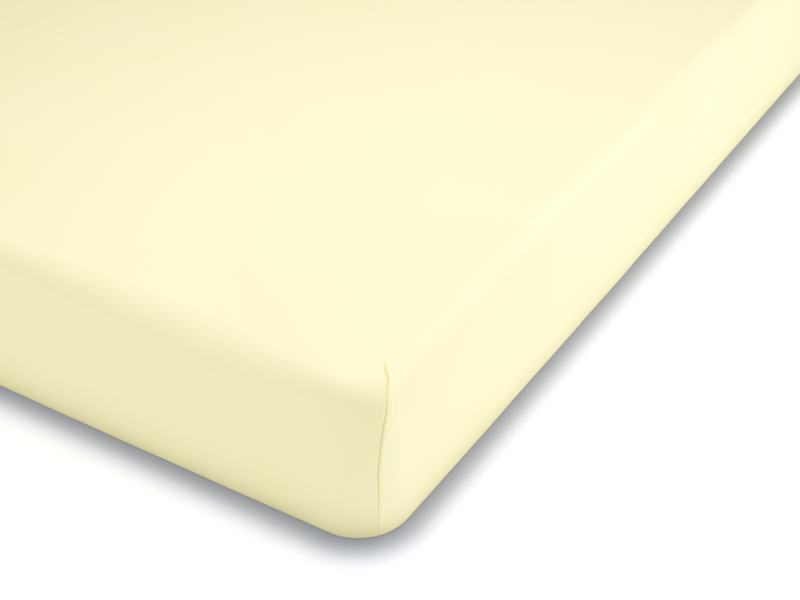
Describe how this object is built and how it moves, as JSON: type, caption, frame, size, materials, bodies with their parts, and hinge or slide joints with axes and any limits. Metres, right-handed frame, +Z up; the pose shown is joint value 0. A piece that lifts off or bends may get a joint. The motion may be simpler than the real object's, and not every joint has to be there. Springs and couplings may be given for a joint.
{
  "type": "fitted sheet on a mattress",
  "caption": "Jersey fitted sheet with sewn corner seams, stretched over a plain single mattress and held by an elasticated edge that returns under it.",
  "frame": {"origin": "middle of the underside, on the surface that the mattress lies on", "axes": "+X along the length of the bed, +Y across it, +Z up; the pictured corner is the one at -X and -Y"},
  "size_m": [2.009, 0.909, 0.1846],
  "materials": {
    "jersey": "fine cotton jersey, pale butter yellow, matt with a soft nap",
    "ticking": "plain woven cotton ticking, off-white, matt"
  },
  "bodies": {
    "root": {"fitted_sheet": "jersey", "mattress": "ticking"}
  },
  "joints": []
}
